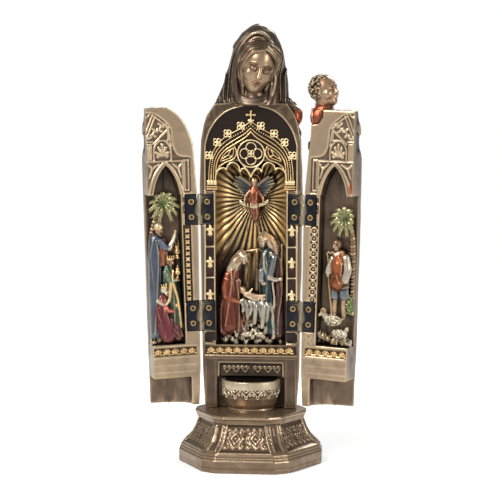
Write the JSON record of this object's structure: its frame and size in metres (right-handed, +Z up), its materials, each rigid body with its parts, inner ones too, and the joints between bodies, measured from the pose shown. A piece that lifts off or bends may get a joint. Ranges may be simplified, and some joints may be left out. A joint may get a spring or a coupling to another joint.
{
  "type": "opening madonna shrine statue with a nativity triptych",
  "caption": "Cast bronze-look statue of a veiled woman with a child's head, its front opening on small hinges as two carved wings around a niche, with a small font.",
  "frame": {"origin": "centre of the base's underside", "axes": "+Z up; the open front faces -Y; +X is to the right of someone looking at the open front"},
  "size_m": [0.1376, 0.0826, 0.27],
  "materials": {
    "back_bronze": "bronze-filled cast resin, dark wash with rubbed pale highlights and painted details",
    "base_bronze": "bronze-filled cast resin, satin, dark wash in the hollows",
    "wing_bronze": "bronze-filled cast resin with painted details",
    "blued_steel": "blue-black hinge leaves",
    "screw_brass": "worn brass, dark cross slot",
    "pin_metal": "dull brass"
  },
  "bodies": {
    "root": {"left_lower_hinge_fixed_leaf": "blued_steel", "left_lower_hinge_fixed_screw_1": "screw_brass", "left_lower_hinge_fixed_screw_2": "screw_brass", "left_lower_hinge_pin": "pin_metal", "left_upper_hinge_fixed_leaf": "blued_steel", "left_upper_hinge_fixed_screw_1": "screw_brass", "left_upper_hinge_fixed_screw_2": "screw_brass", "left_upper_hinge_pin": "pin_metal", "plinth": "base_bronze", "right_lower_hinge_fixed_leaf": "blued_steel", "right_lower_hinge_fixed_screw_1": "screw_brass", "right_lower_hinge_fixed_screw_2": "screw_brass", "right_lower_hinge_pin": "pin_metal", "right_upper_hinge_fixed_leaf": "blued_steel", "right_upper_hinge_fixed_screw_1": "screw_brass", "right_upper_hinge_fixed_screw_2": "screw_brass", "right_upper_hinge_pin": "pin_metal", "statue_back": "back_bronze"},
    "left_wing_body": {"left_lower_hinge_wing_leaf": "blued_steel", "left_lower_hinge_wing_screw_1": "screw_brass", "left_lower_hinge_wing_screw_2": "screw_brass", "left_upper_hinge_wing_leaf": "blued_steel", "left_upper_hinge_wing_screw_1": "screw_brass", "left_upper_hinge_wing_screw_2": "screw_brass", "left_wing": "wing_bronze"},
    "right_wing_body": {"right_lower_hinge_wing_leaf": "blued_steel", "right_lower_hinge_wing_screw_1": "screw_brass", "right_lower_hinge_wing_screw_2": "screw_brass", "right_upper_hinge_wing_leaf": "blued_steel", "right_upper_hinge_wing_screw_1": "screw_brass", "right_upper_hinge_wing_screw_2": "screw_brass", "right_wing": "wing_bronze"}
  },
  "joints": [
    {"name": "left_wing_hinge", "type": "hinge", "parent": "root", "child": "left_wing_body", "pos_m": [-0.0314, -0.002, 0.1235], "axis": [-0.0145, 0, 0.9999], "range_deg": [-10, 160]},
    {"name": "right_wing_hinge", "type": "hinge", "parent": "root", "child": "right_wing_body", "pos_m": [0.0314, -0.002, 0.1235], "axis": [0.0145, 0, 0.9999], "range_deg": [-162, 8]}
  ]
}
